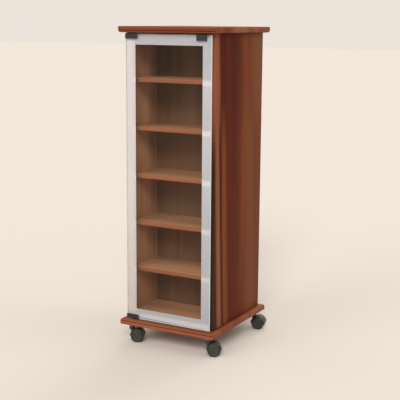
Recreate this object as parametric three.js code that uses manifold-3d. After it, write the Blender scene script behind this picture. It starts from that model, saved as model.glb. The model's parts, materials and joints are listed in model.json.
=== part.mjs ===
// A tall media tower on four castors. Its cabinet turns on a ball-bearing turntable above the base board,
// has six disc compartments behind a hinged glass door in front, and four open bays at the back.
// Millimetres, +Z up. The origin is on the floor below the turntable's axis, and the door faces -Y.

import * as THREE from "three";
import { RoundedBoxGeometry } from "three/addons/geometries/RoundedBoxGeometry.js";
import { mergeVertices } from "three/addons/utils/BufferGeometryUtils.js";
import Module from "manifold-3d";

const wasm = await Module();
wasm.setup();

// Boards at the top and the bottom
const boardWidth = 324;
const boardDepth = 363;
const boardThickness = 18;
const boardOuterRound = 3;
const boardInnerRound = 9;
const boardCorner = 1.5;

// Cabinet
const bodySideInset = 12;
const bodyEndInset = 26;
const panelThickness = 16;
const panelEdge = 1;
const panelFloorGap = 2.5;
const floorThickness = 12;
const shelfThickness = 12;
const shelfSetback = 5.5;
const compartmentHeight = 132.5;
const compartmentCount = 6;
const compartmentDepth = 145;
const rearBayCount = 4;
const centreThickness = 12;

// Turntable between the base board and the cabinet floor
const turntableHeight = 8;
const turntableSide = 170;
const turntableBore = 46;
const turntablePlate = 1.5;
const turntableCorner = 8;
const ballCircleRadius = 68;
const ballRadius = 2.2;
const ballCount = 12;
const cageThickness = 1.2;
const cageWidth = 4.6;
const raceWall = 1.5;
const raceGap = 1;
const raceLap = 3;

// Glass door
const glassThickness = 5;
const glassSideInset = 5.7;
const glassBackGap = 7;
const glassBottomGap = 3;
const glassTopGap = 4;
const glassArris = 0.6;
const notchWidth = 16;
const notchHeight = 6;
const pivotInset = 7;

// Clamps and pins that the door turns on
const clampWidth = 42;
const clampHeight = 15;
const clampWall = 1.8;
const clampEndLap = 0.5;
const clampLip = 1.2;
const clampArris = 0.6;
const pivotRadius = 2.5;
const pivotPlay = 0.1;
const topPinReach = 9;
const bottomPinReach = 5;
const bushWall = 2.4;
const bushFlange = 1.2;
const bushFlangeThickness = 1;
const bracketThickness = 1.5;
const bracketWidth = 20;
const bracketLength = 60;
const bracketTopGap = 0.3;
const bracketOverhang = 4.5;

// Push catch and the clip that it holds
const clipWidth = 34;
const clipHeight = 18;
const clipWall = 1.5;
const clipFromEdge = 15.3;
const catchWidth = 18;
const catchHeight = 18;
const catchLength = 44;
const plungerRadius = 3.5;
const plungerHeadRadius = 6;
const plungerHeadLength = 4;
const plungerTravel = 4;
const plungerEngage = 30;

// Castors
const castorHeight = 59;
const castorInset = 27;
const castorTrail = 17;
const wheelRadius = 20;
const wheelWidth = 13;
const wheelShoulder = 1.6;
const wheelDish = 1;
const wheelDishRadius = 15;
const wheelHubDepth = 10;
const webThickness = 9;
const wheelSideGap = 0.5;
const hoodGap = 1;
const hoodWall = 2;
const hubRadius = 6.5;
const axleRadius = 2.5;
const axleEnd = 9;
const stemRadius = 3.2;
const stemDepth = 23;
const bossRadius = 9;
const bossHeight = 13;
const bossFoot = 24;
const plateSide = 36;
const plateThickness = 2.5;
const plateCorner = 5;
const cupRadius = 14;
const cupHeight = 3.5;

// Clearances, and how far a cutting tool runs past what it cuts
const seatGap = 0.3;
const overrun = 5;

// Turned places, in degrees: where the hood starts and ends round its wheels, and how each castor stands
const hoodStart = 4;
const hoodEnd = 176;
const castorPlaces = [
  { name: "front_left", side: -1, end: -1, turn: 25 },
  { name: "front_right", side: 1, end: -1, turn: 30 },
  { name: "rear_left", side: -1, end: 1, turn: 200 },
  { name: "rear_right", side: 1, end: 1, turn: 12 },
];

// Facets of round things
const fineFacets = 24;
const pinFacets = 16;
const hoodFacets = 10;
const ballFacets = 5;
const edgeFacets = 1;
const cornerFacets = 4;
const rimFacets = 4;

// Heights and faces that the pieces share
const baseTop = castorHeight + boardThickness;
const floorBottom = baseTop + turntableHeight;
const floorTop = floorBottom + floorThickness;
const shelfPitch = compartmentHeight + shelfThickness;
const bodyTop = floorTop + compartmentCount * shelfPitch - shelfThickness;
const halfBody = boardWidth / 2 - bodySideInset;
const halfInside = halfBody - panelThickness;
const bodyFront = bodyEndInset - boardDepth / 2;
const bodyBack = -bodyFront;
const shelfFront = bodyFront + shelfSetback;
const centreFront = shelfFront + compartmentDepth;
const centreBack = centreFront + centreThickness;
const panelBottom = baseTop + panelFloorGap;

const glassBack = bodyFront - glassBackGap;
const glassFront = glassBack - glassThickness;
const glassMiddle = (glassBack + glassFront) / 2;
const glassHalf = halfBody - glassSideInset;
const glassBottom = baseTop + glassBottomGap;
const glassTop = bodyTop - glassTopGap;
const pivotX = pivotInset - glassHalf;

const root = new THREE.Group();

// A named mesh with its own material, put into a group.
function add(parent, name, geometry, finish) {
  const mesh = new THREE.Mesh(geometry, new THREE.MeshStandardMaterial(finish));
  mesh.name = name;
  parent.add(mesh);
  return mesh;
}

// A geometry as a solid that can be joined and cut.
function solid(geometry) {
  const bare = geometry.clone();
  bare.deleteAttribute("normal");
  bare.deleteAttribute("uv");
  const merged = mergeVertices(bare);
  const corners = merged.index.array;
  const kept = [];
  for (let i = 0; i < corners.length; i += 3) {
    const [a, b, c] = corners.slice(i, i + 3);
    if (a !== b && b !== c && c !== a) kept.push(a, b, c);
  }
  return new wasm.Manifold(
    new wasm.Mesh({
      numProp: 3,
      vertProperties: merged.attributes.position.array,
      triVerts: new Uint32Array(kept),
    }),
  );
}

// A solid back as a geometry.
function geometryOf(body) {
  const mesh = body.getMesh();
  const geometry = new THREE.BufferGeometry();
  geometry.setAttribute("position", new THREE.BufferAttribute(mesh.vertProperties, mesh.numProp));
  geometry.setIndex(new THREE.BufferAttribute(mesh.triVerts, 1));
  const flat = geometry.toNonIndexed();
  flat.computeVertexNormals();
  return flat;
}

// A box from its lowest corner to its highest one, with small rounded edges if a radius is given.
function block([x0, y0, z0], [x1, y1, z1], radius = 0) {
  const size = [x1 - x0, y1 - y0, z1 - z0];
  const shape = radius
    ? new RoundedBoxGeometry(...size, edgeFacets, radius)
    : new THREE.BoxGeometry(...size);
  return shape.translate((x0 + x1) / 2, (y0 + y1) / 2, (z0 + z1) / 2);
}

// An upright cylinder between two heights.
function post(radius, low, high, x = 0, y = 0, facets = pinFacets) {
  return new THREE.CylinderGeometry(radius, radius, high - low, facets)
    .rotateX(Math.PI / 2)
    .translate(x, y, (low + high) / 2);
}

// A cylinder that lies along Y.
function rod(radius, front, back, x = 0, z = 0, facets = pinFacets) {
  return new THREE.CylinderGeometry(radius, radius, back - front, facets)
    .translate(x, (front + back) / 2, z);
}

// The outline of a rectangle with round corners, as points.
function roundedRectangle(halfWidth, halfDepth, radius) {
  const points = [];
  const centres = [[1, 1], [-1, 1], [-1, -1], [1, -1]];
  centres.forEach(([sx, sy], quarter) => {
    for (let i = 0; i <= cornerFacets; i++) {
      const angle = ((quarter + i / cornerFacets) * Math.PI) / 2;
      points.push([
        sx * (halfWidth - radius) + radius * Math.cos(angle),
        sy * (halfDepth - radius) + radius * Math.sin(angle),
      ]);
    }
  });
  return points;
}

// A board lying flat, whose rim is rounded by one radius at the bottom and another at the top.
function rimmedBoard(low, high, lowRound, highRound) {
  const rims = [];
  for (let i = 0; i <= rimFacets; i++) {
    const angle = (i / rimFacets) * (Math.PI / 2);
    rims.push([lowRound * (1 - Math.sin(angle)), low + lowRound * (1 - Math.cos(angle))]);
  }
  for (let i = 0; i <= rimFacets; i++) {
    const angle = (i / rimFacets) * (Math.PI / 2);
    rims.push([highRound * (1 - Math.cos(angle)), high - highRound * (1 - Math.sin(angle))]);
  }
  const rings = rims.map(([inset, height]) =>
    roundedRectangle(boardWidth / 2 - inset, boardDepth / 2 - inset, boardCorner)
      .map(([x, y]) => [x, y, height]),
  );
  const count = rings[0].length;
  const faces = [];
  for (let level = 0; level < rings.length - 1; level++) {
    for (let i = 0; i < count; i++) {
      const a = level * count + i;
      const b = level * count + ((i + 1) % count);
      faces.push(a, b, b + count, a, b + count, a + count);
    }
  }
  const last = (rings.length - 1) * count;
  for (let i = 1; i < count - 1; i++) {
    faces.push(0, i + 1, i, last, last + i, last + i + 1);
  }
  const board = new THREE.BufferGeometry();
  board.setAttribute("position", new THREE.Float32BufferAttribute(rings.flat(2), 3));
  board.setIndex(faces);
  return board;
}

// Finishes
const wood = { color: 0x6b3320, roughness: 0.45, metalness: 0 };
const innerWood = { color: 0x7d4a2c, roughness: 0.5, metalness: 0 };
const zinc = { color: 0x9a9c9e, roughness: 0.4, metalness: 1 };
const steel = { color: 0xb8bbbe, roughness: 0.3, metalness: 1 };
const blackMetal = { color: 0x1d2023, roughness: 0.45, metalness: 0.4 };
const blackPlastic = { color: 0x26241f, roughness: 0.5, metalness: 0 };
const nylon = { color: 0xd8d4c8, roughness: 0.5, metalness: 0 };
const glass = { color: 0xdfe6e4, roughness: 0.05, metalness: 0, transparent: true, opacity: 0.35 };

// Base board and the boards' soft-formed rims: the full round faces the cabinet on both
function buildBoards() {
  const base = rimmedBoard(castorHeight, baseTop, boardOuterRound, boardInnerRound);
  add(root, "base_board", base, wood);
  const socket = pivotRadius + pivotPlay + bushWall + seatGap;
  const bore = (radius, depth) =>
    solid(post(radius, bodyTop - overrun, bodyTop + depth, pivotX, glassMiddle));
  const top = solid(rimmedBoard(bodyTop, bodyTop + boardThickness, boardInnerRound, boardOuterRound))
    .subtract(bore(socket, topPinReach + seatGap))
    .subtract(bore(socket + bushFlange, bushFlangeThickness));
  add(root, "top_board", geometryOf(top), wood);
}

// Two square plates with pressed races, and a cage of balls that rolls between them
function buildTurntable() {
  const cageMiddle = baseTop + turntableHeight / 2;
  const half = turntableSide / 2;
  const innerRace = ballCircleRadius - ballRadius - raceGap;
  const outerRace = ballCircleRadius + ballRadius + raceGap;
  const plate = (low) => {
    const outline = new THREE.Shape(
      roundedRectangle(half, half, turntableCorner).map(([x, y]) => new THREE.Vector2(x, y)),
    );
    const sheet = new THREE.ExtrudeGeometry(outline, { depth: turntablePlate, bevelEnabled: false });
    return solid(sheet.translate(0, 0, low));
  };
  const ring = (inner, outer, low, high) =>
    solid(post(outer, low, high, 0, 0, fineFacets))
      .subtract(solid(post(inner, low - overrun, high + overrun, 0, 0, fineFacets)));
  const bore = solid(post(turntableBore, baseTop - overrun, floorBottom + overrun, 0, 0, fineFacets));

  const lower = plate(baseTop)
    .add(ring(innerRace - raceWall, innerRace, baseTop, baseTop + turntablePlate + raceLap))
    .subtract(bore);
  add(root, "turntable_lower_plate", geometryOf(lower), zinc);

  const upper = plate(floorBottom - turntablePlate)
    .add(ring(outerRace, outerRace + raceWall, floorBottom - turntablePlate - raceLap, floorBottom))
    .subtract(bore);
  add(root, "turntable_upper_plate", geometryOf(upper), zinc);

  let cage = ring(
    ballCircleRadius - cageWidth / 2,
    ballCircleRadius + cageWidth / 2,
    cageMiddle - cageThickness / 2,
    cageMiddle + cageThickness / 2,
  );
  for (let i = 0; i < ballCount; i++) {
    const angle = (i / ballCount) * 2 * Math.PI;
    const ball = new THREE.SphereGeometry(ballRadius, ballFacets, ballFacets)
      .rotateX(Math.PI / 2)
      .translate(ballCircleRadius * Math.cos(angle), ballCircleRadius * Math.sin(angle), cageMiddle);
    cage = cage.add(solid(ball));
  }
  add(root, "turntable_ball_cage", geometryOf(cage), nylon);
}

// Floor, sides, centre panel and shelves
function buildCabinet() {
  const floor = block([-halfInside, bodyFront, floorBottom], [halfInside, bodyBack, floorTop], panelEdge);
  add(root, "floor_panel", floor, innerWood);
  for (const [name, side] of [["left", -1], ["right", 1]]) {
    const inner = side * halfInside;
    const outer = side * halfBody;
    const low = [Math.min(inner, outer), bodyFront, panelBottom];
    const high = [Math.max(inner, outer), bodyBack, bodyTop];
    add(root, `side_panel_${name}`, block(low, high, panelEdge), wood);
  }
  const centre = block([-halfInside, centreFront, floorTop], [halfInside, centreBack, bodyTop]);
  add(root, "centre_panel", centre, innerWood);

  const shelf = (name, low, front, back) => {
    const shape = block([-halfInside, front, low], [halfInside, back, low + shelfThickness], panelEdge);
    add(root, name, shape, innerWood);
  };
  for (let i = 1; i < compartmentCount; i++) {
    shelf(`disc_shelf_${i}`, floorTop + i * shelfPitch - shelfThickness, shelfFront, centreFront);
  }
  const rearPitch = (bodyTop - floorTop + shelfThickness) / rearBayCount;
  for (let i = 1; i < rearBayCount; i++) {
    const low = floorTop + i * rearPitch - shelfThickness;
    shelf(`rear_shelf_${i}`, low, centreBack, bodyBack - shelfSetback);
  }
}

// The pane: both corners at the hinge side are notched where the clamps carry the pivots
function buildGlass() {
  const notch = (low, high) =>
    solid(block(
      [-glassHalf - overrun, glassFront - overrun, low],
      [-glassHalf + notchWidth, glassBack + overrun, high],
    ));
  const pane = solid(block(
    [-glassHalf, glassFront, glassBottom],
    [glassHalf, glassBack, glassTop],
    glassArris,
  ))
    .subtract(notch(glassBottom - overrun, glassBottom + notchHeight))
    .subtract(notch(glassTop - notchHeight, glassTop + overrun));
  add(root, "glass_door", geometryOf(pane), glass);
}

// The room that the pane takes inside a clamp or clip, with its clearance, left open below the pane
function paneRoom() {
  return solid(block(
    [-glassHalf + notchWidth - seatGap, glassFront - seatGap, glassBottom - overrun],
    [glassHalf + overrun, glassBack + seatGap, glassTop + seatGap],
  )).add(solid(block(
    [-glassHalf - overrun, glassFront - seatGap, glassBottom + notchHeight - seatGap],
    [glassHalf, glassBack + seatGap, glassTop - notchHeight + seatGap],
  )));
}

// Clamps at the two hinge corners, with the upper pin, its bush, and the lower bracket with its pin
function buildHinges() {
  const left = -glassHalf - clampEndLap;
  const front = glassFront - seatGap - clampWall;
  const back = glassBack + seatGap + clampWall;
  const clamp = (low, high) =>
    solid(block([left, front, low], [left + clampWidth, back, high], clampArris)).subtract(paneRoom());

  const topEdge = glassTop + clampLip;
  const pinTop = bodyTop + topPinReach - seatGap;
  const upperPin = solid(post(pivotRadius, topEdge - clampLip, pinTop, pivotX, glassMiddle));
  const upper = clamp(topEdge - clampHeight, topEdge).add(upperPin);
  add(root, "hinge_top_clamp", geometryOf(upper), blackMetal);

  const bore = pivotRadius + pivotPlay;
  const bush = solid(post(bore + bushWall, bodyTop, bodyTop + topPinReach, pivotX, glassMiddle))
    .add(solid(post(
      bore + bushWall + bushFlange,
      bodyTop - bushFlangeThickness / 2,
      bodyTop + bushFlangeThickness - seatGap,
      pivotX,
      glassMiddle,
    )))
    .subtract(solid(post(bore, bodyTop - overrun, bodyTop + topPinReach + overrun, pivotX, glassMiddle)));
  add(root, "top_pivot_bush", geometryOf(bush), nylon);

  const bracketTop = panelBottom - bracketTopGap;
  const clampFoot = bracketTop + seatGap;
  const socketTop = bracketTop + bottomPinReach + seatGap;
  const socket = solid(post(bore, clampFoot - overrun, socketTop, pivotX, glassMiddle));
  const lower = clamp(clampFoot, clampFoot + clampHeight - clampLip).subtract(socket);
  add(root, "hinge_bottom_clamp", geometryOf(lower), blackMetal);

  const bracketLeft = pivotX - bracketWidth / 2;
  const bracketFront = glassMiddle - bracketOverhang;
  const bracket = solid(block(
    [bracketLeft, bracketFront, bracketTop - bracketThickness],
    [bracketLeft + bracketWidth, bracketFront + bracketLength, bracketTop],
  )).add(solid(post(
    pivotRadius,
    bracketTop - bracketThickness / 2,
    bracketTop + bottomPinReach,
    pivotX,
    glassMiddle,
  )));
  add(root, "bottom_pivot_bracket", geometryOf(bracket), steel);
}

// The clip on the pane's free corner, and the sprung push catch under the top board
function buildCatch() {
  const clipRight = glassHalf - clipFromEdge;
  const clipMiddle = clipRight - clipWidth / 2;
  const clipTop = glassTop + clampLip;
  const clipBack = glassBack + seatGap + clipWall;
  const clip = solid(block(
    [clipRight - clipWidth, glassFront - seatGap - clipWall, clipTop - clipHeight],
    [clipRight, clipBack, clipTop],
    clampArris,
  )).subtract(paneRoom());
  add(root, "door_catch_clip", geometryOf(clip), blackMetal);

  const axis = clipTop - clipHeight / 2;
  const housingBottom = bodyTop - catchHeight;
  const bore = plungerRadius + seatGap;
  const housing = solid(block(
    [clipMiddle - catchWidth / 2, shelfFront, housingBottom],
    [clipMiddle + catchWidth / 2, shelfFront + catchLength, bodyTop],
    panelEdge,
  )).subtract(solid(rod(
    bore,
    shelfFront - overrun,
    shelfFront + plungerEngage + plungerTravel + seatGap,
    clipMiddle,
    axis,
  )));
  add(root, "catch_housing", geometryOf(housing), blackPlastic);

  const tip = clipBack + seatGap;
  const plunger = solid(rod(plungerHeadRadius, tip, tip + plungerHeadLength, clipMiddle, axis))
    .add(solid(rod(plungerRadius, tip + seatGap, shelfFront + plungerEngage, clipMiddle, axis)));
  add(root, "catch_plunger", geometryOf(plunger), steel);
}

// One disc of a twin wheel, closed on its outer face, with a blind bore for the axle
function wheelShape() {
  const inner = webThickness / 2 + wheelSideGap;
  const outer = inner + wheelWidth;
  const bore = axleRadius + pivotPlay;
  const profile = [
    [0, inner + wheelHubDepth],
    [bore, inner + wheelHubDepth],
    [bore, inner],
    [wheelRadius - wheelShoulder, inner],
    [wheelRadius, inner + wheelShoulder],
    [wheelRadius, outer - 2 * wheelShoulder],
    [wheelRadius - wheelShoulder, outer - wheelDish],
    [wheelDishRadius, outer],
    [wheelDishRadius - wheelDish, outer - wheelDish],
    [0, outer - wheelDish],
  ];
  const points = profile.map(([radius, along]) => new THREE.Vector2(radius, along));
  return new THREE.LatheGeometry(points, fineFacets);
}

// The hood: a web between the two discs, a curved cover over them and the boss that the stem turns in
function hoodShape(bossTop, holeBottom) {
  const from = THREE.MathUtils.degToRad(hoodStart);
  const to = THREE.MathUtils.degToRad(hoodEnd);
  const coverInner = wheelRadius + hoodGap;
  const coverOuter = coverInner + hoodWall;
  const coverHalf = webThickness / 2 + wheelSideGap + wheelWidth;
  const webHalf = webThickness / 2;

  const sector = (inner, half) => {
    const outline = new THREE.Shape();
    outline.absarc(0, 0, coverOuter, from, to, false);
    if (inner) outline.absarc(0, 0, inner, to, from, true);
    else outline.lineTo(0, 0);
    const sheet = new THREE.ExtrudeGeometry(outline, {
      depth: 2 * half,
      bevelEnabled: false,
      curveSegments: hoodFacets,
    });
    return solid(sheet.translate(0, 0, -half).rotateX(Math.PI / 2).translate(castorTrail, 0, wheelRadius));
  };
  return sector(0, webHalf)
    .add(sector(coverInner, coverHalf))
    .add(solid(rod(hubRadius, -webHalf, webHalf, castorTrail, wheelRadius)))
    .add(solid(post(webHalf, bossFoot, bossTop)))
    .add(solid(post(bossRadius, bossTop - bossHeight, bossTop)))
    .subtract(solid(post(stemRadius + pivotPlay, holeBottom, bossTop + overrun)))
    .subtract(solid(rod(axleRadius + pivotPlay, -coverHalf, coverHalf, castorTrail, wheelRadius)));
}

// Four castors: a screwed plate, a stem on it, a hood that swivels on the stem, and two wheels on one axle
function buildCastors() {
  const plateBottom = castorHeight - plateThickness;
  const cupBottom = plateBottom - cupHeight;
  const stemBottom = cupBottom - stemDepth;
  const halfPlate = plateSide / 2;
  const hood = geometryOf(hoodShape(cupBottom - seatGap, stemBottom - seatGap));
  const plateOutline = new THREE.Shape(
    roundedRectangle(halfPlate, halfPlate, plateCorner).map(([x, y]) => new THREE.Vector2(x, y)),
  );
  const sheet = new THREE.ExtrudeGeometry(plateOutline, { depth: plateThickness, bevelEnabled: false });
  const plate = geometryOf(
    solid(sheet.translate(0, 0, plateBottom)).add(solid(post(cupRadius, cupBottom, castorHeight))),
  );
  const stem = post(stemRadius, stemBottom, cupBottom);
  const axleHalf = webThickness / 2 + wheelSideGap + axleEnd;
  const axle = rod(axleRadius, -axleHalf, axleHalf, castorTrail, wheelRadius);
  for (const { name, side, end, turn } of castorPlaces) {
    const group = new THREE.Group();
    group.position.x = side * (boardWidth / 2 - castorInset);
    group.position.y = end * (boardDepth / 2 - castorInset);
    root.add(group);
    add(group, `castor_${name}_plate`, plate, zinc);
    add(group, `castor_${name}_stem`, stem, steel);

    const swivel = new THREE.Group();
    swivel.rotation.z = THREE.MathUtils.degToRad(turn);
    group.add(swivel);
    add(swivel, `castor_${name}_hood`, hood, blackPlastic);
    add(swivel, `castor_${name}_axle`, axle, steel);
    for (const [letter, flip] of [["a", 0], ["b", Math.PI]]) {
      const wheel = add(swivel, `castor_${name}_wheel_${letter}`, wheelShape(), blackPlastic);
      wheel.position.set(castorTrail, 0, wheelRadius);
      wheel.rotation.x = flip;
    }
  }
}

buildBoards();
buildTurntable();
buildCabinet();
buildGlass();
buildHinges();
buildCatch();
buildCastors();

export default root;
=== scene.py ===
import json
import math

import bmesh
import bpy
from mathutils import Matrix, Vector

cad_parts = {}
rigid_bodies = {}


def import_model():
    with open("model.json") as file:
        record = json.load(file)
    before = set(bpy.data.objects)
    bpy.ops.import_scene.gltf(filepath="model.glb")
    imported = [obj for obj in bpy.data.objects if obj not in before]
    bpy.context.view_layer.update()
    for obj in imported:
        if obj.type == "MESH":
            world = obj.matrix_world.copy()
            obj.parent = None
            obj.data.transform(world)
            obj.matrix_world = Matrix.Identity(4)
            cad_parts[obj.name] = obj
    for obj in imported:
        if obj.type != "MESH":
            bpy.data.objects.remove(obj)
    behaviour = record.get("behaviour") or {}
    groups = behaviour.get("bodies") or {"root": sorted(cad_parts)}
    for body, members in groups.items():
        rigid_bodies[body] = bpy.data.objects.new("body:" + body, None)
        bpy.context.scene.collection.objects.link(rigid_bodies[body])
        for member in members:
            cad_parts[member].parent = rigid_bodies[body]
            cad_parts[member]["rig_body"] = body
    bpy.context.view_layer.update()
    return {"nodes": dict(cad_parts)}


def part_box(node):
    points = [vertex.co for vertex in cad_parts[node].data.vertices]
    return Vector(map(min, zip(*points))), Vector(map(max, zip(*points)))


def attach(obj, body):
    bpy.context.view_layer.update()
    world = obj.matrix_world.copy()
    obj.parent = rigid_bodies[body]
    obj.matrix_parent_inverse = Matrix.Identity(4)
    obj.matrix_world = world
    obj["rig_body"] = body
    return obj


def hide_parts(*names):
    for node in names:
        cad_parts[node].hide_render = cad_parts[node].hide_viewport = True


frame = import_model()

MM = 0.001

# Where the photograph was taken from
CAMERA_PLACE = Vector((1.4393, -2.5764, 0.9907))
CAMERA_YAW = 28.886
CAMERA_PITCH = 10.628
CAMERA_ROLL = 0.422
CAMERA_FOCUS = 86.6
SENSOR_WIDTH = 36

# Boards
BOARD_OUTER_ROUND = 2.5 * MM
BOARD_CORNER = 1.5 * MM
NOSE_HEIGHT = 10.8 * MM
QUIRK_WIDTH = 1.8 * MM
QUIRK_DEPTH = 1.8 * MM
QUIRK_LEAD = 0.8 * MM
QUIRK_LIP = 0.3 * MM
INNER_SIDE_INSET = 0.1 * MM
INNER_FRONT_INSET = 0.6 * MM
INNER_ROUND_WIDTH = 7 * MM
RIM_STEPS = 8
CORNER_STEPS = 5

# Panels
PANEL_ROUND = 1 * MM
CENTRE_PANEL_ROUND = 0.6 * MM
BEVEL_SEGMENTS = 3
DISC_SHELVES = [f"disc_shelf_{number}" for number in range(1, 6)]
REAR_SHELVES = [f"rear_shelf_{number}" for number in range(1, 4)]
SHELVES = DISC_SHELVES + REAR_SHELVES

# Glass
FROST_BORDER = 31 * MM
FROST_THICKNESS = 0.15 * MM
FROST_INSET = 0.8 * MM
NOTCH_WIDTH = 16 * MM
NOTCH_HEIGHT = 6 * MM
GLASS_BEVEL = 0.5 * MM

# Castors
WHEEL_RADIUS = 20 * MM
TREAD_FROM = 18.9 * MM
WHEEL_WIDTH = 13 * MM
WHEEL_INNER_FACE = 5 * MM
WEB_HALF = 4.5 * MM
HOOD_HALF = 18 * MM
HOOD_INNER = 21 * MM
HOOD_OUTER = 23 * MM
HOOD_START = 4
HOOD_END = 176
HOOD_STEPS = 40
HOOD_SOFT = 0.7 * MM
HOOD_LIP = 0.2 * MM
WEB_START = 0.5 * MM
HUB_RADIUS = 6.5 * MM
NECK_FOOT = 24 * MM
BOSS_RADIUS = 9 * MM
BOSS_BOTTOM = 39.7 * MM
BOSS_TOP = 52.7 * MM
PLATE_BOTTOM = 56.5 * MM
PLATE_SCREW_INSET = 5.5 * MM
CASTOR_TURNS = {"front_left": 25, "front_right": 30, "rear_left": 200, "rear_right": 12}
CASTORS = tuple(CASTOR_TURNS)

# A disc's section in mm: radius, and distance from the inner or from the outer face
DISC_INSIDE = [
    (0, 0.2), (16.8, 0), (18.6, 0), (19.6, 0.5), (20, 1.6), (20, 5.6), (19.5, 6.0), (19.5, 6.6), (20, 7.0),
]
DISC_OUTSIDE = [
    (20, 3.4), (19.7, 2.4), (18.9, 1.6), (17.6, 1.1), (16.9, 1.7), (16.2, 1.7), (15.6, 0.7), (15.0, 0.2),
    (14.2, 0), (12.6, 0.4), (7.2, 0.9), (6.4, 0.9), (5.9, 0.3), (4.6, 0), (0, 0),
]

# Small fasteners
SCREW_RADIUS = 3.4 * MM
SCREW_HEIGHT = 1.2 * MM
SHELF_PIN_RADIUS = 2.5 * MM
SHELF_PIN_LENGTH = 7 * MM
SHELF_PIN_INSET = 25 * MM
SHELF_PIN_SUNK = 1 * MM
SHELF_PIN_SOFT = 0.5 * MM
CLAMP_SCREW_RADIUS = 2.6 * MM
CLAMP_SCREW_HEIGHT = 0.6 * MM
CLAMP_SCREW_SUNK = 0.3 * MM
CLAMP_SCREW_INSET = 7 * MM

# Floor, background and distant lights: compass angle, height, strength and spread
FLOOR_REACH = 30
FLOOR_TONE = (226, 218, 209)
BACKGROUND_TONE = (236, 228, 218)
AMBIENT_COLOUR = (0.64, 0.63, 0.62, 1)
AMBIENT_STRENGTH = 0.42
SUNS = {
    "key": (-66, 34, 1.8, 22),
    "front": (-112, 26, 0.7, 40),
    "side": (20, 36, 0.3, 40),
    "back": (95, 42, 0.7, 40),
}


def linear(red, green, blue):
    """A colour given in 0 to 255 as Blender's linear values."""
    def channel(value):
        value /= 255
        return value / 12.92 if value <= 0.04045 else ((value + 0.055) / 1.055) ** 2.4
    return (channel(red), channel(green), channel(blue), 1.0)


# Materials

def new_material(name):
    """A material with its Principled shader, and short ways to add and join nodes."""
    material = bpy.data.materials.new(name)
    material.use_nodes = True
    tree = material.node_tree
    shader = tree.nodes["Principled BSDF"]

    def node(kind, **values):
        made = tree.nodes.new(kind)
        for key, value in values.items():
            setattr(made, key, value)
        return made

    return material, tree, shader, node


def noise(tree, node, vector, scale, detail=3.0, roughness=0.5, distortion=0.0):
    made = node("ShaderNodeTexNoise")
    made.inputs["Scale"].default_value = scale
    made.inputs["Detail"].default_value = detail
    made.inputs["Roughness"].default_value = roughness
    made.inputs["Distortion"].default_value = distortion
    tree.links.new(vector, made.inputs["Vector"])
    return made.outputs["Fac"]


def ramp(tree, node, factor, stops):
    made = node("ShaderNodeValToRGB")
    elements = made.color_ramp.elements
    elements[0].position, elements[0].color = stops[0]
    elements[1].position, elements[1].color = stops[-1]
    for position, colour in stops[1:-1]:
        elements.new(position).color = colour
    tree.links.new(factor, made.inputs["Fac"])
    return made.outputs["Color"]


def math_node(tree, node, operation, first, second):
    made = node("ShaderNodeMath", operation=operation)
    for socket, value in zip(made.inputs, (first, second)):
        if isinstance(value, (int, float)):
            socket.default_value = value
        else:
            tree.links.new(value, socket)
    return made.outputs[0]


def blend(tree, node, factor, first, second):
    """The first colour where the factor is 0, the second where it is 1."""
    made = node("ShaderNodeMix", data_type="RGBA")
    colours = [socket for socket in made.inputs if socket.type == "RGBA"]
    tree.links.new(factor, made.inputs[0])
    tree.links.new(first, colours[0])
    tree.links.new(second, colours[1])
    return next(socket for socket in made.outputs if socket.type == "RGBA")


def bump(tree, node, shader, height, strength, distance):
    made = node("ShaderNodeBump")
    made.inputs["Strength"].default_value = strength
    made.inputs["Distance"].default_value = distance
    tree.links.new(height, made.inputs["Height"])
    tree.links.new(made.outputs["Normal"], shader.inputs["Normal"])


def grain_vector(tree, node, along, offset, across_scale, along_scale):
    """Object coordinates stretched along the grain."""
    where = node("ShaderNodeTexCoord").outputs["Object"]
    mapping = node("ShaderNodeMapping")
    mapping.inputs["Location"].default_value = offset
    mapping.inputs["Scale"].default_value = [
        along_scale if axis == along else across_scale for axis in "XYZ"
    ]
    tree.links.new(where, mapping.inputs["Vector"])
    return mapping.outputs["Vector"]


def wood_relief(tree, node, shader, along, offset, roughness):
    """Fine pores in gloss and relief; returns them for the colour too."""
    pores = noise(tree, node, grain_vector(tree, node, along, offset, 900, 14), 1, 3.0, 0.6, 0.1)
    rough = node("ShaderNodeMapRange")
    rough.inputs["To Min"].default_value = roughness + 0.08
    rough.inputs["To Max"].default_value = roughness - 0.04
    tree.links.new(pores, rough.inputs["Value"])
    tree.links.new(rough.outputs["Result"], shader.inputs["Roughness"])
    shader.inputs["Specular IOR Level"].default_value = 0.05
    bump(tree, node, shader, pores, 0.12, 0.0002)
    return pores


def weighted(tree, node, *parts):
    """The sum of values, each with its weight."""
    total = 0.0
    for value, weight in parts:
        total = math_node(tree, node, "ADD", math_node(tree, node, "MULTIPLY", value, weight), total)
    return total


def wood(name, along, offset, stops, roughness=0.42):
    """Cherry decor: broad bands, narrow stripes and fine pores, all drawn out along the grain."""
    material, tree, shader, node = new_material(name)
    bands = noise(tree, node, grain_vector(tree, node, along, offset, 9, 0.9), 1, 2.0, 0.45, 0.35)
    stripes = noise(tree, node, grain_vector(tree, node, along, offset, 52, 1.6), 1, 4.0, 0.55, 0.5)
    pores = wood_relief(tree, node, shader, along, offset, roughness)
    total = weighted(tree, node, (bands, 0.62), (stripes, 0.3), (pores, 0.12))
    tree.links.new(ramp(tree, node, total, stops), shader.inputs["Base Color"])
    return material


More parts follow.
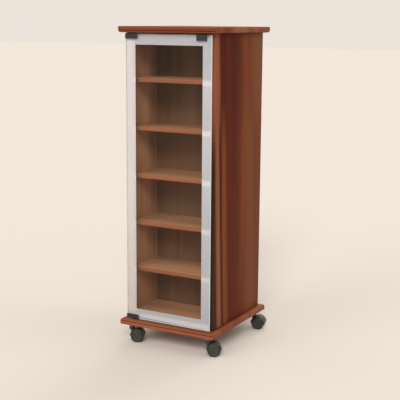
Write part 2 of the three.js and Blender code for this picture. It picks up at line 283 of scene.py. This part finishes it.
def side_wood_with_painted_light():
    """The sides' cherry with painted light near the front edge: a light streak that is a painted reflection
    and, low down, a near-black wedge of painted shade; then deep red bands.
    """
    material, tree, shader, node = new_material("cherry_side")
    where = node("ShaderNodeTexCoord").outputs["Object"]
    split = node("ShaderNodeSeparateXYZ")
    tree.links.new(where, split.inputs[0])
    bands = noise(tree, node, grain_vector(tree, node, "Z", (0.3, 0.1, 0.2), 11, 1.1), 1, 3.0, 0.5, 0.4)
    stripes = noise(tree, node, grain_vector(tree, node, "Z", (0.1, 0.5, 0.0), 70, 2.0), 1, 4.0, 0.6, 0.5)
    pores = wood_relief(tree, node, shader, "Z", (0.0, 0.0, 0.0), 0.42)
    depth = node("ShaderNodeMapRange")
    depth.inputs["From Min"].default_value = -SIDE_STREAK_HALF
    depth.inputs["From Max"].default_value = SIDE_STREAK_HALF
    tree.links.new(split.outputs["Y"], depth.inputs["Value"])
    across = weighted(
        tree, node, (depth.outputs["Result"], 1.0), (split.outputs["Z"], SIDE_STREAK_SLANT), (stripes, 0.04),
        (bands, 0.05),
    )
    # The low and the high streaks carry the painted reflection and, low down, the painted shade near the
    # front edge
    low = ramp(tree, node, across, LOW_STREAKS)
    high = ramp(tree, node, across, HIGH_STREAKS)
    rise = node("ShaderNodeMapRange", interpolation_type="SMOOTHSTEP")
    rise.inputs["From Min"].default_value = STREAK_FADE[0]
    rise.inputs["From Max"].default_value = STREAK_FADE[1]
    tree.links.new(split.outputs["Z"], rise.inputs["Value"])
    streaks = blend(tree, node, rise.outputs["Result"], low, high)
    grain = weighted(tree, node, (bands, 0.5), (stripes, 0.4), (pores, 0.2))
    shade = node("ShaderNodeMapRange")
    shade.inputs["From Min"].default_value = 0.35
    shade.inputs["From Max"].default_value = 0.75
    shade.inputs["To Min"].default_value = 0.72
    shade.inputs["To Max"].default_value = 1.28
    tree.links.new(grain, shade.inputs["Value"])
    scaled = node("ShaderNodeVectorMath", operation="SCALE")
    tree.links.new(streaks, scaled.inputs[0])
    tree.links.new(shade.outputs["Result"], scaled.inputs["Scale"])
    tree.links.new(scaled.outputs["Vector"], shader.inputs["Base Color"])
    return material


def plain(name, colour, roughness, metallic=0.0, grit=60.0, spread=0.12, strength=0.08):
    """Plastic or painted metal: a fine grit in colour, gloss and relief."""
    material, tree, shader, node = new_material(name)
    where = node("ShaderNodeTexCoord").outputs["Object"]
    grain = noise(tree, node, where, grit, 6.0, 0.6)
    low = tuple(channel * (1 - spread) for channel in colour[:3]) + (1.0,)
    high = tuple(min(1.0, channel * (1 + spread)) for channel in colour[:3]) + (1.0,)
    tree.links.new(ramp(tree, node, grain, [(0.3, low), (0.7, high)]), shader.inputs["Base Color"])
    rough = node("ShaderNodeMapRange")
    rough.inputs["To Min"].default_value = max(0.02, roughness - 0.06)
    rough.inputs["To Max"].default_value = roughness + 0.06
    tree.links.new(grain, rough.inputs["Value"])
    tree.links.new(rough.outputs["Result"], shader.inputs["Roughness"])
    shader.inputs["Metallic"].default_value = metallic
    bump(tree, node, shader, noise(tree, node, where, grit * 30, 4.0), strength, 0.0001)
    return material


def clear_glass():
    material, tree, shader, node = new_material("door_glass_clear")
    where = node("ShaderNodeTexCoord").outputs["Object"]
    smear = noise(tree, node, where, 7, 4.0)
    tree.links.new(
        ramp(tree, node, smear, [(0.3, linear(70, 78, 74)), (0.7, linear(96, 102, 98))]),
        shader.inputs["Base Color"],
    )
    shader.inputs["Alpha"].default_value = 0.05
    shader.inputs["Roughness"].default_value = 0.03
    shader.inputs["Specular IOR Level"].default_value = 0.25
    shader.inputs["IOR"].default_value = 1.5
    return material


def frosted_glass():
    """Milky glass with painted light: painted light coming through at the hinge side, a painted glow where
    a shelf's front edge stands close behind it, and painted shade towards the bottom and the top.
    """
    material, tree, shader, node = new_material("door_glass_frosted")
    where = node("ShaderNodeTexCoord").outputs["Object"]
    split = node("ShaderNodeSeparateXYZ")
    tree.links.new(where, split.inputs[0])
    above = math_node(tree, node, "SUBTRACT", split.outputs["Z"], FIRST_SHELF - SHELF_GLOW)
    share = math_node(tree, node, "FRACT", math_node(tree, node, "DIVIDE", above, SHELF_PITCH), 0.0)
    cloud = noise(tree, node, where, 14, 3.0)
    # Painted glow near each shelf, painted shade by height, painted light coming through at the hinge side
    shelf_glow_tone = ramp(tree, node, weighted(tree, node, (share, 1.0), (cloud, 0.02)), FROST_TONES_WITH_SHELF_GLOW)
    dimmed = node("ShaderNodeVectorMath", operation="MULTIPLY")
    tree.links.new(shelf_glow_tone, dimmed.inputs[0])
    tree.links.new(ramp(tree, node, split.outputs["Z"], FROST_PAINTED_SHADE_BY_HEIGHT), dimmed.inputs[1])
    height = weighted(tree, node, (split.outputs["Z"], 1.0), (cloud, 0.05))
    width = node("ShaderNodeMapRange", interpolation_type="SMOOTHSTEP")
    width.inputs["From Min"].default_value = HINGE_FADE[0]
    width.inputs["From Max"].default_value = HINGE_FADE[1]
    tree.links.new(split.outputs["X"], width.inputs["Value"])
    hinge_backlight_tone = ramp(tree, node, height, HINGE_PAINTED_BACKLIGHT)
    tone = blend(tree, node, width.outputs["Result"], hinge_backlight_tone, dimmed.outputs["Vector"])
    tree.links.new(tone, shader.inputs["Base Color"])
    shader.inputs["Alpha"].default_value = 0.93
    shader.inputs["Roughness"].default_value = 0.55
    shader.inputs["Specular IOR Level"].default_value = 0.2
    bump(tree, node, shader, noise(tree, node, where, 1800, 3.0), 0.15, 0.0001)
    return material


def glass_edge():
    # Near-white edge colour: a painted highlight along the pane's edges
    material, tree, shader, node = new_material("door_glass_edge")
    where = node("ShaderNodeTexCoord").outputs["Object"]
    streak = noise(tree, node, where, 40, 3.0)
    tree.links.new(
        ramp(tree, node, streak, [(0.3, linear(212, 222, 216)), (0.7, linear(236, 240, 236))]),
        shader.inputs["Base Color"],
    )
    shader.inputs["Alpha"].default_value = 0.85
    shader.inputs["Roughness"].default_value = 0.25
    return material


# Decor tones along the grain's noise, dark to light; the centre panel's tones are darkened as painted
# shade, and the quirk's near-black tones are painted shade too
INNER = [
    (0.34, linear(148, 104, 72)),
    (0.46, linear(168, 121, 86)),
    (0.56, linear(182, 134, 98)),
    (0.68, linear(198, 152, 114)),
]
# Painted shade: the centre panel is a darker copy of the inner wood, for the shade deep inside
BACK_PAINTED_SHADE = [
    (0.34, linear(88, 62, 42)),
    (0.46, linear(104, 74, 50)),
    (0.56, linear(116, 83, 57)),
    (0.68, linear(132, 96, 68)),
]
EDGE = [
    (0.34, linear(98, 46, 30)),
    (0.46, linear(114, 58, 39)),
    (0.56, linear(128, 70, 48)),
    (0.68, linear(144, 86, 60)),
]
BAND = [
    (0.34, linear(124, 70, 46)),
    (0.52, linear(148, 90, 62)),
    (0.68, linear(170, 112, 80)),
]
# Painted shade: near-black tones for the quirk groove, far darker than the board
QUIRK_PAINTED_SHADE_TONES = [(0.34, linear(40, 18, 11)), (0.68, linear(58, 27, 17))]

# Streaks on the sides, from the front edge to the rear one; the light streak is a painted reflection and
# the near-black wedge is painted shade
# Painted reflection: a light streak near the front edge
PAINTED_REFLECTION_STREAK = linear(136, 80, 54)
# Painted shade: a near-black wedge low down by the front edge
PAINTED_SHADE_WEDGE = linear(56, 36, 28)
DARK_RED = linear(72, 22, 9)
DEEP_RED = linear(84, 28, 9)
BROWN = linear(114, 62, 26)
WARM = linear(106, 47, 14)
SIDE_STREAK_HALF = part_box("side_panel_left")[1].y
SIDE_STREAK_SLANT = 0.15
STREAK_FADE = (0.6, 0.8)
# Low down: the painted shade wedge and the painted reflection streak near the front, then bands
LOW_STREAKS = [
    (0.05, PAINTED_SHADE_WEDGE), (0.125, PAINTED_SHADE_WEDGE), (0.165, PAINTED_REFLECTION_STREAK), (0.21, PAINTED_REFLECTION_STREAK), (0.24, DARK_RED),
    (0.26, DARK_RED), (0.29, BROWN), (0.33, BROWN), (0.4, DEEP_RED), (0.6, DEEP_RED), (0.72, WARM),
    (0.9, BROWN), (1.0, WARM),
]
# Higher up: the painted reflection streak near the front, then bands
HIGH_STREAKS = [
    (0.12, PAINTED_REFLECTION_STREAK), (0.24, PAINTED_REFLECTION_STREAK), (0.28, DEEP_RED), (0.36, DARK_RED), (0.44, DEEP_RED),
    (0.52, DARK_RED), (0.58, DARK_RED), (0.66, DEEP_RED), (0.8, WARM), (0.92, WARM), (1.0, BROWN),
]

# Frosted border: the lowest disc shelf's middle, the pitch, and the tones from one shelf to the next,
# lighter near each shelf's height as a painted glow of its front edge behind the frost
FIRST_SHELF = sum(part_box(DISC_SHELVES[0]), Vector()).z / 2
SHELF_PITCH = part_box(DISC_SHELVES[1])[0].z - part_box(DISC_SHELVES[0])[0].z
SHELF_GLOW = 0.009
# The frost's tone, with a lighter band near each shelf as a painted glow
FROST_TONES_WITH_SHELF_GLOW = [
    (0.0, linear(200, 198, 202)), (0.03, linear(220, 217, 218)), (0.09, linear(219, 216, 217)),
    (0.14, linear(190, 189, 194)), (0.5, linear(192, 191, 196)), (1.0, linear(199, 197, 202)),
]
# Painted shade: the frost darker towards the bottom and the top
FROST_PAINTED_SHADE_BY_HEIGHT = [
    (0.1, (0.82, 0.82, 0.81, 1)), (0.36, (0.87, 0.87, 0.87, 1)), (0.6, (1, 1, 1, 1)), (0.8, (1, 1, 1, 1)),
    (0.93, (0.86, 0.87, 0.87, 1)),
]
# Painted light coming through the frost at the hinge side
HINGE_PAINTED_BACKLIGHT = [
    (0.05, linear(198, 184, 174)), (0.3, linear(212, 200, 192)), (0.5, linear(216, 210, 206)),
    (0.9, linear(218, 212, 212)),
]
HINGE_FADE = (-0.132, -0.1)

side_wood = side_wood_with_painted_light()
board_wood = wood("cherry_board", "X", (0.4, 0.2, 0.1), EDGE, 0.4)
quirk_painted_shade_wood = wood("cherry_quirk_painted_shade", "X", (0.4, 0.2, 0.1), QUIRK_PAINTED_SHADE_TONES, 0.6)
shelf_wood = wood("cherry_shelf", "X", (0.7, 0.9, 0.3), INNER, 0.42)
band_wood = wood("cherry_edge_band", "X", (0.2, 0.6, 0.8), BAND, 0.38)
inner_wood = wood("cherry_inner_side", "Z", (1.7, 0.4, 0.6), INNER, 0.42)
back_painted_shade_wood = wood("cherry_centre_painted_shade", "Z", (0.9, 1.4, 0.2), BACK_PAINTED_SHADE, 0.42)
clear = clear_glass()
frosted = frosted_glass()
edge_painted_highlight = glass_edge()
black_metal = plain("black_clamp", linear(34, 38, 42), 0.42, 0.3)
black_plastic = plain("castor_black", linear(44, 43, 34), 0.5, 0.0, 90, 0.16, 0.15)
tread = plain("castor_tread", linear(34, 34, 28), 0.62, 0.0, 140, 0.18, 0.2)
zinc = plain("zinc_sheet", linear(160, 162, 164), 0.38, 1.0, 40, 0.1, 0.1)
steel = plain("bright_steel", linear(186, 188, 190), 0.28, 1.0, 60, 0.06, 0.06)
nylon = plain("nylon", linear(216, 212, 200), 0.5, 0.0, 80, 0.05, 0.08)


# Meshes

def finished(name, shape, materials, node=None, body=None, smooth=35.0):
    """A mesh object from a bmesh, shaded smooth below an angle, riding on a body."""
    bmesh.ops.recalc_face_normals(shape, faces=shape.faces)
    mesh = bpy.data.meshes.new(name)
    shape.to_mesh(mesh)
    shape.free()
    for material in materials:
        mesh.materials.append(material)
    piece = bpy.data.objects.new(name, mesh)
    bpy.context.scene.collection.objects.link(piece)
    mesh.polygons.foreach_set("use_smooth", [True] * len(mesh.polygons))
    mesh.set_sharp_from_angle(angle=math.radians(smooth))
    if node:
        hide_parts(node)
        body = frame["nodes"][node]["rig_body"]
    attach(piece, body)


def add_block(shape, low, high, bevel=0.0, index=0):
    """Adds a box with rounded edges to a bmesh."""
    made = bmesh.ops.create_cube(shape, size=1.0)
    size, middle = Vector(high) - Vector(low), (Vector(high) + Vector(low)) / 2
    bmesh.ops.scale(shape, vec=size, verts=made["verts"])
    bmesh.ops.translate(shape, vec=middle, verts=made["verts"])
    faces = {face for vert in made["verts"] for face in vert.link_faces}
    for face in faces:
        face.material_index = index
    if bevel:
        edges = list({edge for vert in made["verts"] for edge in vert.link_edges})
        bmesh.ops.bevel(
            shape, geom=edges, offset=bevel, segments=BEVEL_SEGMENTS, profile=0.5, affect="EDGES",
            material=-1,
        )
    return shape


def add_turned(shape, profile, matrix, steps):
    """Adds a turned form to a bmesh: (radius, height) points round Z, closed at the axis."""
    rings = []
    for radius, height in profile:
        if radius == 0:
            rings.append([shape.verts.new(matrix @ Vector((0, 0, height)))])
            continue
        rings.append([
            shape.verts.new(matrix @ Vector((
                radius * math.cos(2 * math.pi * i / steps),
                radius * math.sin(2 * math.pi * i / steps),
                height,
            )))
            for i in range(steps)
        ])
    for below, above in zip(rings, rings[1:]):
        for i in range(steps):
            j = (i + 1) % steps
            loop = [
                below[i % len(below)], below[j % len(below)],
                above[j % len(above)], above[i % len(above)],
            ]
            corners = list(dict.fromkeys(loop))
            if len(corners) > 2:
                shape.faces.new(corners)
    return shape


def panel(node, material, bevel=PANEL_ROUND, picked=None, other=None):
    """A flat panel in a CAD node's box with rounded edges; the faces that picked chooses get other."""
    low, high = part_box(node)
    shape = add_block(bmesh.new(), low, high, bevel)
    for face in shape.faces:
        face.normal_update()
        if picked and picked(face.normal):
            face.material_index = 1
    finished(f"{node}_panel", shape, [material, other] if other else [material], node)


def board_ring(half_x, half_y, height, radius):
    """A rectangle of points with round corners."""
    points = []
    for quarter, (sx, sy) in enumerate(((1, 1), (-1, 1), (-1, -1), (1, -1))):
        for i in range(CORNER_STEPS + 1):
            angle = (quarter + i / CORNER_STEPS) * math.pi / 2
            points.append(Vector((
                sx * (half_x - radius) + radius * math.cos(angle),
                sy * (half_y - radius) + radius * math.sin(angle),
                height,
            )))
    return points


def board(node, inner_side):
    """A soft-formed board: a nose, a quirk in front and behind, and a round towards the cabinet; the
    quirk's front and rear faces take a near-black wood as painted shade.
    """
    low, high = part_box(node)
    half_x, half_y, thickness = (high.x - low.x) / 2, (high.y - low.y) / 2, high.z - low.z
    quarter = [i / RIM_STEPS * math.pi / 2 for i in range(RIM_STEPS + 1)]
    rims = [
        (BOARD_OUTER_ROUND * (1 - math.sin(a)), BOARD_OUTER_ROUND * (1 - math.sin(a)),
         BOARD_OUTER_ROUND * (1 - math.cos(a)), 0)
        for a in quarter
    ]
    rims += [
        (0.0, 0.0, NOSE_HEIGHT - QUIRK_LEAD, 0),
        (0.0, QUIRK_LIP, NOSE_HEIGHT, 1),
        (0.0, QUIRK_DEPTH, NOSE_HEIGHT + 0.2 * QUIRK_WIDTH, 1),
        (0.0, QUIRK_DEPTH, NOSE_HEIGHT + 0.6 * QUIRK_WIDTH, 1),
        (INNER_SIDE_INSET, INNER_FRONT_INSET, NOSE_HEIGHT + QUIRK_WIDTH, 0),
    ]
    left = thickness - NOSE_HEIGHT - QUIRK_WIDTH
    rims += [
        (INNER_ROUND_WIDTH * (1 - math.cos(a)) + INNER_SIDE_INSET,
         INNER_ROUND_WIDTH * (1 - math.cos(a)) + INNER_FRONT_INSET,
         thickness - left * (1 - math.sin(a)), 0)
        for a in quarter[1:]
    ]
    shape = bmesh.new()
    loops = []
    for inset_x, inset_y, lift, _ in rims:
        height = low.z + lift if inner_side == "top" else high.z - lift
        ring = board_ring(half_x - inset_x, half_y - inset_y, height, BOARD_CORNER)
        loops.append([shape.verts.new(point) for point in ring])
    for (below, above), rim in zip(zip(loops, loops[1:]), rims):
        for i in range(len(below)):
            j = (i + 1) % len(below)
            face = shape.faces.new((below[i], below[j], above[j], above[i]))
            face.normal_update()
            # The quirk's front and rear faces get the painted shade wood
            face.material_index = 1 if rim[3] and abs(face.normal.x) < 0.5 else 0
    shape.faces.new(loops[0])
    shape.faces.new(loops[-1])
    finished(f"{node}_formed", shape, [board_wood, quirk_painted_shade_wood], node, smooth=40.0)


board("base_board", "top")
board("top_board", "bottom")
panel("side_panel_left", side_wood, picked=lambda normal: normal.x > 0.5, other=inner_wood)
panel("side_panel_right", side_wood, picked=lambda normal: normal.x < -0.5, other=inner_wood)
panel("floor_panel", shelf_wood, picked=lambda normal: abs(normal.y) > 0.5, other=band_wood)
# The centre panel's darker wood is painted shade
panel("centre_panel", back_painted_shade_wood, CENTRE_PANEL_ROUND)
for shelf in SHELVES:
    panel(shelf, shelf_wood, picked=lambda normal: abs(normal.y) > 0.5, other=band_wood)


# Glass door

def pane_outline(inset=0.0):
    """The pane's outline seen from the front, with the two notches at the hinge side."""
    low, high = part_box("glass_door")
    left, right = low.x + inset, high.x - inset
    bottom, top = low.z + inset, high.z - inset
    notch_x, notch_low, notch_high = left + NOTCH_WIDTH, bottom + NOTCH_HEIGHT, top - NOTCH_HEIGHT
    return [
        (notch_x, bottom), (right, bottom), (right, top), (notch_x, top),
        (notch_x, notch_high), (left, notch_high), (left, notch_low), (notch_x, notch_low),
    ]


def glass_pane():
    """The clear pane with polished, slightly bevelled edges, whose near-white colour is a painted
    highlight.
    """
    low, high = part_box("glass_door")
    shape = bmesh.new()
    front = [shape.verts.new((x, low.y, z)) for x, z in pane_outline()]
    face = shape.faces.new(front)
    made = bmesh.ops.extrude_face_region(shape, geom=[face])
    moved = [item for item in made["geom"] if isinstance(item, bmesh.types.BMVert)]
    bmesh.ops.translate(shape, vec=(0, high.y - low.y, 0), verts=moved)
    for side in shape.faces:
        side.normal_update()
        side.material_index = 0 if abs(side.normal.y) > 0.9 else 1
    sharp = [edge for edge in shape.edges if edge.calc_face_angle(0) > 1]
    bmesh.ops.bevel(
        shape, geom=sharp, offset=GLASS_BEVEL, segments=2, profile=0.5, affect="EDGES", material=1,
    )
    finished("glass_pane", shape, [clear, edge_painted_highlight], "glass_door", smooth=20.0)


def frosted_border():
    """A thin frosted frame on the pane's rear face."""
    low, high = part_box("glass_door")
    shape = bmesh.new()
    edges = []
    inner = [
        (low.x + FROST_BORDER, low.z + FROST_BORDER), (high.x - FROST_BORDER, low.z + FROST_BORDER),
        (high.x - FROST_BORDER, high.z - FROST_BORDER), (low.x + FROST_BORDER, high.z - FROST_BORDER),
    ]
    for outline in (pane_outline(FROST_INSET), inner):
        verts = [shape.verts.new((x, high.y, z)) for x, z in outline]
        edges += [shape.edges.new((a, b)) for a, b in zip(verts, verts[1:] + verts[:1])]
    bmesh.ops.triangle_fill(shape, use_beauty=True, use_dissolve=False, edges=edges)
    made = bmesh.ops.extrude_face_region(shape, geom=list(shape.faces))
    moved = [item for item in made["geom"] if isinstance(item, bmesh.types.BMVert)]
    bmesh.ops.translate(shape, vec=(0, FROST_THICKNESS, 0), verts=moved)
    finished("frosted_border", shape, [frosted], body="door", smooth=20.0)


glass_pane()
frosted_border()


# Castors

def castor_frame(name):
    """Where a castor's own frame lies: X along its heading, Y along the axle."""
    low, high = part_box(f"castor_{name}_plate")
    middle = (low + high) / 2
    return Matrix.Translation((middle.x, middle.y, 0)) @ Matrix.Rotation(
        math.radians(CASTOR_TURNS[name]), 4, "Z")


def wheel_centre(name, side):
    """The wheel's axis point in the castor's frame, read from the CAD wheel itself."""
    low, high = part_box(f"castor_{name}_wheel_{side}")
    return castor_frame(name).inverted() @ ((low + high) / 2)


def wheel(name, side):
    """One disc: a treaded rim with a groove, a stepped face and a low cap in the middle."""
    centre = wheel_centre(name, side)
    away = 1 if centre.y > 0 else -1
    inner, outer = WHEEL_INNER_FACE, WHEEL_INNER_FACE + WHEEL_WIDTH
    profile = [(radius * MM, inner + depth * MM) for radius, depth in DISC_INSIDE]
    profile += [(radius * MM, outer - depth * MM) for radius, depth in DISC_OUTSIDE]
    turn = Matrix.Rotation(math.radians(-90 * away), 4, "X")
    place = castor_frame(name) @ Matrix.Translation((centre.x, 0, centre.z)) @ turn
    shape = add_turned(bmesh.new(), profile, place, 64)
    for face in shape.faces:
        distance = (place.inverted() @ face.calc_center_median()).to_2d().length
        face.material_index = 1 if distance > TREAD_FROM else 0
    finished(f"castor_{name}_disc_{side}", shape, [black_plastic, tread], f"castor_{name}_wheel_{side}")


def add_sector(shape, place, section, steps):
    """Sweeps a closed section of (radius, y) points round the axle, from the hood's start to its end."""
    rings = []
    for i in range(steps + 1):
        angle = math.radians(HOOD_START + (HOOD_END - HOOD_START) * i / steps)
        rings.append([
            shape.verts.new(place @ Vector((radius * math.cos(angle), y, radius * math.sin(angle))))
            for radius, y in section
        ])
    count = len(section)
    for below, above in zip(rings, rings[1:]):
        for i in range(count):
            j = (i + 1) % count
            shape.faces.new((below[i], below[j], above[j], above[i]))
    shape.faces.new(rings[0])
    shape.faces.new(rings[-1])


def hood(name):
    """The cover over both discs, the web between them, the hub, and the neck with its boss."""
    place = castor_frame(name) @ Matrix.Translation((wheel_centre(name, "a").x, 0, WHEEL_RADIUS))
    soft = HOOD_SOFT
    cover = []
    for sign in (-1, 1):
        edge = [
            (HOOD_INNER, sign * (HOOD_HALF - HOOD_LIP)), (HOOD_INNER + HOOD_LIP, sign * HOOD_HALF),
            (HOOD_OUTER - soft, sign * HOOD_HALF),
            (HOOD_OUTER - 0.3 * soft, sign * (HOOD_HALF - 0.3 * soft)),
            (HOOD_OUTER, sign * (HOOD_HALF - soft)),
        ]
        cover += edge if sign < 0 else edge[::-1]
    shape = bmesh.new()
    add_sector(shape, place, cover, HOOD_STEPS)
    web = [(WEB_START, -WEB_HALF), (HOOD_INNER, -WEB_HALF), (HOOD_INNER, WEB_HALF), (WEB_START, WEB_HALF)]
    add_sector(shape, place, web, HOOD_STEPS)
    along_axle = place @ Matrix.Rotation(math.radians(90), 4, "X")
    add_turned(shape, [
        (0, -WEB_HALF), (HUB_RADIUS - soft, -WEB_HALF), (HUB_RADIUS, soft - WEB_HALF),
        (HUB_RADIUS, WEB_HALF - soft), (HUB_RADIUS - soft, WEB_HALF), (0, WEB_HALF),
    ], along_axle, 32)
    add_turned(shape, [
        (0, NECK_FOOT), (WEB_HALF, NECK_FOOT), (WEB_HALF, BOSS_BOTTOM), (BOSS_RADIUS - soft, BOSS_BOTTOM),
        (BOSS_RADIUS, BOSS_BOTTOM + soft), (BOSS_RADIUS, BOSS_TOP - soft), (BOSS_RADIUS - soft, BOSS_TOP),
        (0, BOSS_TOP),
    ], castor_frame(name), 40)
    finished(f"castor_{name}_cover", shape, [black_plastic], f"castor_{name}_hood")


for castor in CASTORS:
    hood(castor)
    for side in "ab":
        wheel(castor, side)


# Fasteners

def screw(shape, place, radius, height):
    """A pan head with a cross recess, its foot at the frame's origin and its top along Z."""
    add_turned(shape, [
        (0, 0), (radius, 0), (radius, 0.35 * height), (0.82 * radius, 0.8 * height), (0.5 * radius, height),
        (0, height),
    ], place, 24)
    for turn in (0, 90):
        arm = place @ Matrix.Rotation(math.radians(turn), 4, "Z")
        start = len(shape.verts)
        add_block(
            shape, (-0.55 * radius, -0.09 * radius, 0.6 * height),
            (0.55 * radius, 0.09 * radius, 1.02 * height), index=1,
        )
        shape.verts.ensure_lookup_table()
        bmesh.ops.transform(shape, matrix=arm, verts=shape.verts[start:])


def castor_screws():
    """Four screws up through each castor plate."""
    shape = bmesh.new()
    for name in CASTORS:
        low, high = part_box(f"castor_{name}_plate")
        for x in (low.x + PLATE_SCREW_INSET, high.x - PLATE_SCREW_INSET):
            for y in (low.y + PLATE_SCREW_INSET, high.y - PLATE_SCREW_INSET):
                place = Matrix.Translation((x, y, PLATE_BOTTOM)) @ Matrix.Rotation(math.pi, 4, "X")
                screw(shape, place, SCREW_RADIUS, SCREW_HEIGHT)
    finished("castor_screws", shape, [steel, black_metal], body="base")


def clamp_screws():
    """Two small screws on the back of each clamp and one on the back of the clip."""
    shape = bmesh.new()
    for node, shares in (("hinge_top_clamp", (0.42, 0.8)), ("hinge_bottom_clamp", (0.42, 0.8)),
                         ("door_catch_clip", (0.5,))):
        low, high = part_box(node)
        at_bottom = node == "hinge_bottom_clamp"
        height = low.z + CLAMP_SCREW_INSET if at_bottom else high.z - CLAMP_SCREW_INSET
        for share in shares:
            across = low.x + share * (high.x - low.x)
            place = Matrix.Translation((across, high.y - CLAMP_SCREW_SUNK, height))
            turned = place @ Matrix.Rotation(math.radians(-90), 4, "X")
            screw(shape, turned, CLAMP_SCREW_RADIUS, CLAMP_SCREW_HEIGHT)
    finished("clamp_screws", shape, [steel, black_metal], body="door")


def shelf_pins():
    """Four steel pins below each shelf, in the sides."""
    shape = bmesh.new()
    for node in SHELVES:
        low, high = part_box(node)
        for y in (low.y + SHELF_PIN_INSET, high.y - SHELF_PIN_INSET):
            for x, inward in ((low.x, 1), (high.x, -1)):
                place = Matrix.Translation((x, y, low.z - SHELF_PIN_RADIUS)) @ Matrix.Rotation(
                    math.radians(90 * inward), 4, "Y")
                add_turned(shape, [
                    (0, -SHELF_PIN_SUNK), (SHELF_PIN_RADIUS, -SHELF_PIN_SUNK),
                    (SHELF_PIN_RADIUS, SHELF_PIN_LENGTH - SHELF_PIN_SOFT),
                    (SHELF_PIN_RADIUS - SHELF_PIN_SOFT, SHELF_PIN_LENGTH), (0, SHELF_PIN_LENGTH),
                ], place, 20)
    finished("shelf_pins", shape, [steel], body="cabinet")


castor_screws()
clamp_screws()
shelf_pins()


# Materials on the CAD nodes that stay as they are

def dress(material, *nodes):
    """Gives CAD nodes one material in place of their own."""
    for node in nodes:
        mesh = frame["nodes"][node].data
        mesh.materials.clear()
        mesh.materials.append(material)


dress(black_metal, "hinge_top_clamp", "hinge_bottom_clamp", "door_catch_clip")
dress(zinc, "turntable_lower_plate", "turntable_upper_plate", "bottom_pivot_bracket")
dress(nylon, "turntable_ball_cage", "top_pivot_bush")
dress(steel, "catch_plunger", *[f"castor_{name}_{piece}" for name in CASTORS for piece in ("axle", "stem")])
dress(black_plastic, "catch_housing")
dress(zinc, *[f"castor_{name}_plate" for name in CASTORS])


# Floor, lights and camera

def floor():
    """A wide plain floor without gloss."""
    mesh = bpy.data.meshes.new("floor")
    corners = [(-1, -1), (1, -1), (1, 1), (-1, 1)]
    mesh.from_pydata([(FLOOR_REACH * x, FLOOR_REACH * y, 0) for x, y in corners], [], [(0, 1, 2, 3)])
    plane = bpy.data.objects.new("floor", mesh)
    bpy.context.scene.collection.objects.link(plane)
    material, _, shader, _ = new_material("floor")
    shader.inputs["Base Color"].default_value = linear(*FLOOR_TONE)
    shader.inputs["Roughness"].default_value = 1.0
    shader.inputs["Specular IOR Level"].default_value = 0.0
    mesh.materials.append(material)


def world():
    """A dim even light, and a pale background for what is seen directly, mirrored or through glass."""
    made = bpy.data.worlds.new("studio")
    made.use_nodes = True
    tree = made.node_tree
    background = tree.nodes["Background"]
    background.inputs["Color"].default_value = AMBIENT_COLOUR
    background.inputs["Strength"].default_value = AMBIENT_STRENGTH
    seen = tree.nodes.new("ShaderNodeBackground")
    seen.inputs["Color"].default_value = linear(*BACKGROUND_TONE)
    seen.inputs["Strength"].default_value = 1.0
    paths = tree.nodes.new("ShaderNodeLightPath")
    mix = tree.nodes.new("ShaderNodeMixShader")
    shown = None
    for ray in ("Is Camera Ray", "Is Glossy Ray", "Is Transmission Ray"):
        widest = tree.nodes.new("ShaderNodeMath")
        widest.operation = "MAXIMUM"
        tree.links.new(paths.outputs[ray], widest.inputs[0])
        if shown is not None:
            tree.links.new(shown, widest.inputs[1])
        shown = widest.outputs[0]
    tree.links.new(shown, mix.inputs["Fac"])
    tree.links.new(background.outputs[0], mix.inputs[1])
    tree.links.new(seen.outputs[0], mix.inputs[2])
    tree.links.new(mix.outputs[0], tree.nodes["World Output"].inputs["Surface"])
    bpy.context.scene.world = made


def camera():
    """The camera at the photograph's place and angle."""
    data = bpy.data.cameras.new("photo_camera")
    data.lens = CAMERA_FOCUS
    data.sensor_width = SENSOR_WIDTH
    view = bpy.data.objects.new("photo_camera", data)
    turn = Matrix.Rotation(math.radians(CAMERA_YAW), 4, "Z")
    tilt = Matrix.Rotation(math.radians(90 - CAMERA_PITCH), 4, "X")
    roll = Matrix.Rotation(math.radians(CAMERA_ROLL), 4, "Z")
    view.matrix_world = Matrix.Translation(CAMERA_PLACE) @ turn @ tilt @ roll
    bpy.context.scene.collection.objects.link(view)
    bpy.context.scene.camera = view


def sun(name, heading, height, strength, spread):
    """A distant light, given by the compass angle and the height that it shines from."""
    data = bpy.data.lights.new(name, "SUN")
    data.energy = strength
    data.angle = math.radians(spread)
    light = bpy.data.objects.new(name, data)
    across, up = math.radians(heading), math.radians(height)
    source = Vector((math.cos(across) * math.cos(up), math.sin(across) * math.cos(up), math.sin(up)))
    light.rotation_euler = source.to_track_quat("Z", "Y").to_euler()
    bpy.context.scene.collection.objects.link(light)


floor()
for light_name, settings in SUNS.items():
    sun(light_name, *settings)
world()
camera()
bpy.context.scene.view_settings.view_transform = "Standard"
